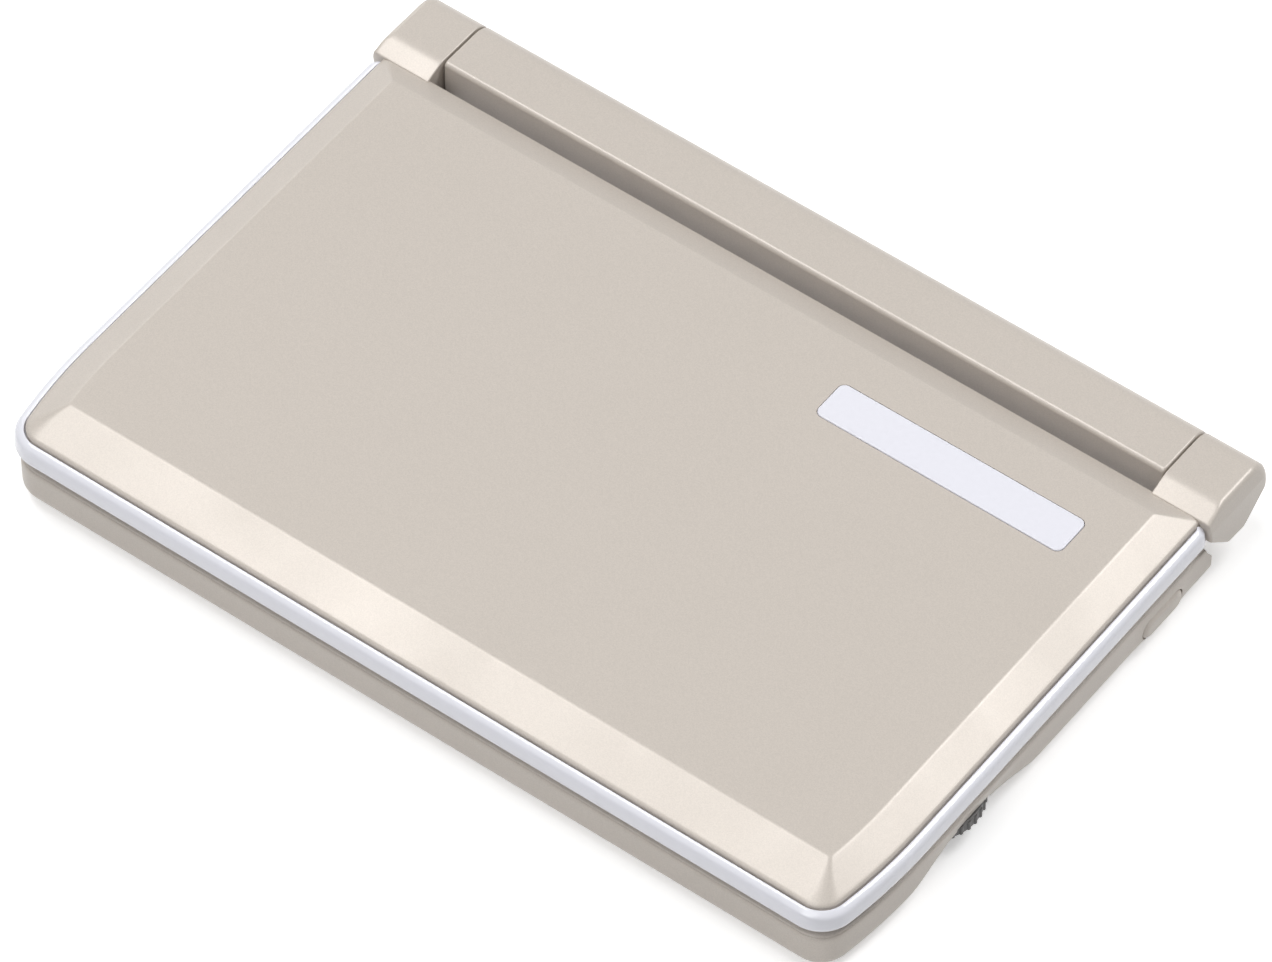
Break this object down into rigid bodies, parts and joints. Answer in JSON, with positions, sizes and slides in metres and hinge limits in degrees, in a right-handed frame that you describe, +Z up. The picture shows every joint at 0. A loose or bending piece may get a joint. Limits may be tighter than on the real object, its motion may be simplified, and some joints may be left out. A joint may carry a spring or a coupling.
{
  "type": "electronic dictionary",
  "caption": "Clamshell pocket dictionary with a bevelled champagne lid, white trim, hinge ears, keyboard deck, side volume dial, stored pen and battery hatch.",
  "frame": {"origin": "under the middle of the closed object, on the plane that the feet rest on", "axes": "+X to the user's right along the hinge, +Y to the hinge, +Z up"},
  "size_m": [0.148, 0.102, 0.0161],
  "materials": {
    "champagne_shell": "metallic champagne paint, satin gloss",
    "white_trim": "glossy white",
    "silver_inside": "fine satin silver paint",
    "clear_window": "clear glossy acrylic",
    "display_glass": "grey-green display glass",
    "black_rubber": "matte",
    "steel": "brushed",
    "battery_can": "plain wrapped can",
    "circuit_board": "solder mask",
    "dome_film": "translucent film",
    "dark_plastic": "fine matte, dark grey",
    "key_plastic": "satin"
  },
  "bodies": {
    "base": {"base_bottom": "champagne_shell", "base_top": "silver_inside", "hinge_bar": "champagne_shell", "hinge_barrels": "steel", "batteries": "battery_can", "battery_contacts": "steel", "main_board": "circuit_board", "dome_sheet": "dome_film", "speaker": "dark_plastic", "earphone_jack": "dark_plastic", "card_socket": "steel", "feet": "black_rubber", "case_screws": "steel", "volume_pot": "steel", "touch_window": "clear_window", "sub_lcd": "display_glass"},
    "lid": {"lid_cover": "champagne_shell", "lid_frame": "white_trim", "hinge_ear_left": "champagne_shell", "hinge_ear_right": "champagne_shell", "nameplate": "white_trim", "display_bezel": "silver_inside", "display_window": "clear_window", "lcd_panel": "display_glass", "lid_bumpers": "black_rubber", "lid_screws": "steel", "hinge_shafts": "steel"},
    "dial": {"volume_dial": "dark_plastic"},
    "pen": {"stylus": "champagne_shell"},
    "hatch": {"battery_cover": "champagne_shell"},
    "key_q_body": {"key_q": "key_plastic"},
    "key_w_body": {"key_w": "key_plastic"},
    "key_e_body": {"key_e": "key_plastic"},
    "key_r_body": {"key_r": "key_plastic"},
    "key_t_body": {"key_t": "key_plastic"},
    "key_y_body": {"key_y": "key_plastic"},
    "key_u_body": {"key_u": "key_plastic"},
    "key_i_body": {"key_i": "key_plastic"},
    "key_o_body": {"key_o": "key_plastic"},
    "key_p_body": {"key_p": "key_plastic"},
    "key_a_body": {"key_a": "key_plastic"},
    "key_s_body": {"key_s": "key_plastic"},
    "key_d_body": {"key_d": "key_plastic"},
    "key_f_body": {"key_f": "key_plastic"},
    "key_g_body": {"key_g": "key_plastic"},
    "key_h_body": {"key_h": "key_plastic"},
    "key_j_body": {"key_j": "key_plastic"},
    "key_k_body": {"key_k": "key_plastic"},
    "key_l_body": {"key_l": "key_plastic"},
    "key_z_body": {"key_z": "key_plastic"},
    "key_x_body": {"key_x": "key_plastic"},
    "key_c_body": {"key_c": "key_plastic"},
    "key_v_body": {"key_v": "key_plastic"},
    "key_b_body": {"key_b": "key_plastic"},
    "key_n_body": {"key_n": "key_plastic"},
    "key_m_body": {"key_m": "key_plastic"},
    "key_back_body": {"key_back": "key_plastic"},
    "key_enter_body": {"key_enter": "key_plastic"},
    "key_power_body": {"key_power": "key_plastic"},
    "cursor_pad_body": {"cursor_pad": "key_plastic"}
  },
  "joints": [
    {"name": "lid_hinge", "type": "hinge", "parent": "base", "child": "lid", "pos_m": [0, 0.0449, 0.01], "axis": [-1, 0, 0], "range_deg": [0, 155]},
    {"name": "volume_turn", "type": "hinge", "parent": "base", "child": "dial", "pos_m": [0.0653, -0.018, 0.004], "axis": [0, 0, 1], "range_deg": [-140, 140]},
    {"name": "pen_slide", "type": "slide", "parent": "base", "child": "pen", "axis": [1, 0, 0], "range_m": [0, 0.086]},
    {"name": "hatch_slide", "type": "slide", "parent": "base", "child": "hatch", "axis": [0, 1, 0], "range_m": [0, 0.006]},
    {"name": "key_q_press", "type": "slide", "parent": "base", "child": "key_q_body", "axis": [0, 0, -1], "range_m": [0, 0.0007], "stiffness_N_per_m": 150, "springref_m": -0.0003},
    {"name": "key_w_press", "type": "slide", "parent": "base", "child": "key_w_body", "axis": [0, 0, -1], "range_m": [0, 0.0007], "stiffness_N_per_m": 150, "springref_m": -0.0003},
    {"name": "key_e_press", "type": "slide", "parent": "base", "child": "key_e_body", "axis": [0, 0, -1], "range_m": [0, 0.0007], "stiffness_N_per_m": 150, "springref_m": -0.0003},
    {"name": "key_r_press", "type": "slide", "parent": "base", "child": "key_r_body", "axis": [0, 0, -1], "range_m": [0, 0.0007], "stiffness_N_per_m": 150, "springref_m": -0.0003},
    {"name": "key_t_press", "type": "slide", "parent": "base", "child": "key_t_body", "axis": [0, 0, -1], "range_m": [0, 0.0007], "stiffness_N_per_m": 150, "springref_m": -0.0003},
    {"name": "key_y_press", "type": "slide", "parent": "base", "child": "key_y_body", "axis": [0, 0, -1], "range_m": [0, 0.0007], "stiffness_N_per_m": 150, "springref_m": -0.0003},
    {"name": "key_u_press", "type": "slide", "parent": "base", "child": "key_u_body", "axis": [0, 0, -1], "range_m": [0, 0.0007], "stiffness_N_per_m": 150, "springref_m": -0.0003},
    {"name": "key_i_press", "type": "slide", "parent": "base", "child": "key_i_body", "axis": [0, 0, -1], "range_m": [0, 0.0007], "stiffness_N_per_m": 150, "springref_m": -0.0003},
    {"name": "key_o_press", "type": "slide", "parent": "base", "child": "key_o_body", "axis": [0, 0, -1], "range_m": [0, 0.0007], "stiffness_N_per_m": 150, "springref_m": -0.0003},
    {"name": "key_p_press", "type": "slide", "parent": "base", "child": "key_p_body", "axis": [0, 0, -1], "range_m": [0, 0.0007], "stiffness_N_per_m": 150, "springref_m": -0.0003},
    {"name": "key_a_press", "type": "slide", "parent": "base", "child": "key_a_body", "axis": [0, 0, -1], "range_m": [0, 0.0007], "stiffness_N_per_m": 150, "springref_m": -0.0003},
    {"name": "key_s_press", "type": "slide", "parent": "base", "child": "key_s_body", "axis": [0, 0, -1], "range_m": [0, 0.0007], "stiffness_N_per_m": 150, "springref_m": -0.0003},
    {"name": "key_d_press", "type": "slide", "parent": "base", "child": "key_d_body", "axis": [0, 0, -1], "range_m": [0, 0.0007], "stiffness_N_per_m": 150, "springref_m": -0.0003},
    {"name": "key_f_press", "type": "slide", "parent": "base", "child": "key_f_body", "axis": [0, 0, -1], "range_m": [0, 0.0007], "stiffness_N_per_m": 150, "springref_m": -0.0003},
    {"name": "key_g_press", "type": "slide", "parent": "base", "child": "key_g_body", "axis": [0, 0, -1], "range_m": [0, 0.0007], "stiffness_N_per_m": 150, "springref_m": -0.0003},
    {"name": "key_h_press", "type": "slide", "parent": "base", "child": "key_h_body", "axis": [0, 0, -1], "range_m": [0, 0.0007], "stiffness_N_per_m": 150, "springref_m": -0.0003},
    {"name": "key_j_press", "type": "slide", "parent": "base", "child": "key_j_body", "axis": [0, 0, -1], "range_m": [0, 0.0007], "stiffness_N_per_m": 150, "springref_m": -0.0003},
    {"name": "key_k_press", "type": "slide", "parent": "base", "child": "key_k_body", "axis": [0, 0, -1], "range_m": [0, 0.0007], "stiffness_N_per_m": 150, "springref_m": -0.0003},
    {"name": "key_l_press", "type": "slide", "parent": "base", "child": "key_l_body", "axis": [0, 0, -1], "range_m": [0, 0.0007], "stiffness_N_per_m": 150, "springref_m": -0.0003},
    {"name": "key_z_press", "type": "slide", "parent": "base", "child": "key_z_body", "axis": [0, 0, -1], "range_m": [0, 0.0007], "stiffness_N_per_m": 150, "springref_m": -0.0003},
    {"name": "key_x_press", "type": "slide", "parent": "base", "child": "key_x_body", "axis": [0, 0, -1], "range_m": [0, 0.0007], "stiffness_N_per_m": 150, "springref_m": -0.0003},
    {"name": "key_c_press", "type": "slide", "parent": "base", "child": "key_c_body", "axis": [0, 0, -1], "range_m": [0, 0.0007], "stiffness_N_per_m": 150, "springref_m": -0.0003},
    {"name": "key_v_press", "type": "slide", "parent": "base", "child": "key_v_body", "axis": [0, 0, -1], "range_m": [0, 0.0007], "stiffness_N_per_m": 150, "springref_m": -0.0003},
    {"name": "key_b_press", "type": "slide", "parent": "base", "child": "key_b_body", "axis": [0, 0, -1], "range_m": [0, 0.0007], "stiffness_N_per_m": 150, "springref_m": -0.0003},
    {"name": "key_n_press", "type": "slide", "parent": "base", "child": "key_n_body", "axis": [0, 0, -1], "range_m": [0, 0.0007], "stiffness_N_per_m": 150, "springref_m": -0.0003},
    {"name": "key_m_press", "type": "slide", "parent": "base", "child": "key_m_body", "axis": [0, 0, -1], "range_m": [0, 0.0007], "stiffness_N_per_m": 150, "springref_m": -0.0003},
    {"name": "key_back_press", "type": "slide", "parent": "base", "child": "key_back_body", "axis": [0, 0, -1], "range_m": [0, 0.0007], "stiffness_N_per_m": 150, "springref_m": -0.0003},
    {"name": "key_enter_press", "type": "slide", "parent": "base", "child": "key_enter_body", "axis": [0, 0, -1], "range_m": [0, 0.0007], "stiffness_N_per_m": 150, "springref_m": -0.0003},
    {"name": "key_power_press", "type": "slide", "parent": "base", "child": "key_power_body", "axis": [0, 0, -1], "range_m": [0, 0.0007], "stiffness_N_per_m": 150, "springref_m": -0.0003},
    {"name": "cursor_pad_press", "type": "slide", "parent": "base", "child": "cursor_pad_body", "axis": [0, 0, -1], "range_m": [0, 0.0007], "stiffness_N_per_m": 150, "springref_m": -0.0003}
  ]
}
